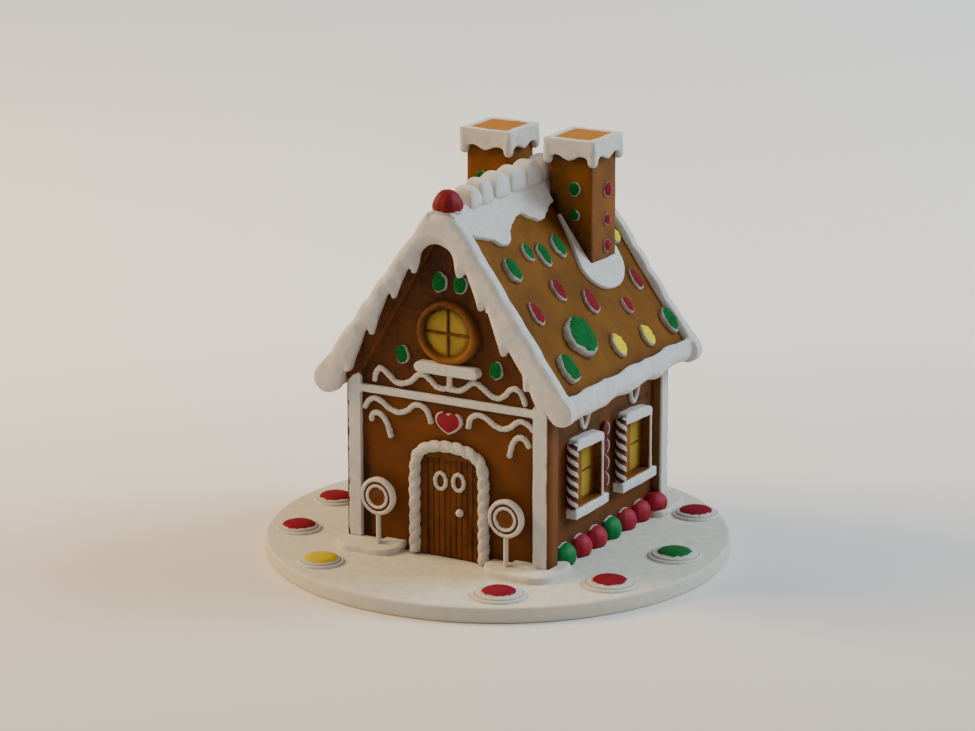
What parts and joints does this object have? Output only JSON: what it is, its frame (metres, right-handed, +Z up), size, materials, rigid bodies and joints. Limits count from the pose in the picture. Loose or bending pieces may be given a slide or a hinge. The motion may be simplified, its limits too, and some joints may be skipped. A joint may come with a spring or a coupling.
{
  "type": "gingerbread house ornament",
  "caption": "Gingerbread house with a steep iced roof, chimneys, shuttered windows, an arched door, lollipops and gumdrops, fixed on a round snowy base.",
  "frame": {"origin": "centre of the underside of the round base, which is also the bottom centre of the bounding box", "axes": "+Z up; the front gable with the door faces -Y; +X is to the right seen from the front; the roof ridge runs along Y"},
  "size_m": [0.2, 0.2, 0.1759],
  "materials": {
    "base": "matt off-white cast resin, chalky like royal icing",
    "icing": "matt white paint, chalky like royal icing",
    "wall": "matt red-brown paint with a dark wash, like dark gingerbread",
    "roof": "matt golden brown paint, speckled, like baked gingerbread",
    "window_ring": "orange-brown paint round an olive yellow pane",
    "door": "brown paint over shallow plank grooves",
    "red": "matt deep red paint, like a gumdrop",
    "green": "matt deep green paint, like a gumdrop",
    "yellow": "matt yellow paint, like a boiled sweet"
  },
  "bodies": {
    "root": {"base_plate": "base", "chimney_collar_left": "icing", "chimney_collar_right": "icing", "chimney_icing_left": "icing", "chimney_icing_right": "icing", "chimney_left": "wall", "chimney_right": "wall", "door": "door", "door_arch": "icing", "gable_front": "wall", "gable_rear": "wall", "gem_large": "green", "gumdrop_left_1": "green", "gumdrop_left_2": "red", "gumdrop_left_3": "red", "gumdrop_left_4": "green", "gumdrop_left_5": "red", "gumdrop_left_6": "red", "gumdrop_left_7": "red", "gumdrop_ridge": "red", "gumdrop_right_1": "green", "gumdrop_right_2": "red", "gumdrop_right_3": "red", "gumdrop_right_4": "green", "gumdrop_right_5": "red", "gumdrop_right_6": "red", "gumdrop_right_7": "red", "heart": "red", "icing_eave_left": "icing", "icing_eave_right": "icing", "icing_front": "icing", "icing_rake_front": "icing", "icing_rake_rear": "icing", "icing_rear": "icing", "icing_ridge": "icing", "lollipop_left": "icing", "lollipop_right": "icing", "roof_left": "roof", "roof_right": "roof", "round_window_front": "window_ring", "round_window_rear": "window_ring", "sweet_1": "red", "sweet_2": "red", "sweet_3": "green", "sweet_4": "red", "sweet_5": "green", "sweet_6": "yellow", "sweet_7": "red", "sweet_8": "red", "sweet_9": "yellow", "wall_block": "wall", "window_column_left_1": "icing", "window_column_left_2": "icing", "window_column_right_1": "icing", "window_column_right_2": "icing", "window_frame_left_1": "icing", "window_frame_left_2": "icing", "window_frame_right_1": "icing", "window_frame_right_2": "icing"}
  },
  "joints": []
}
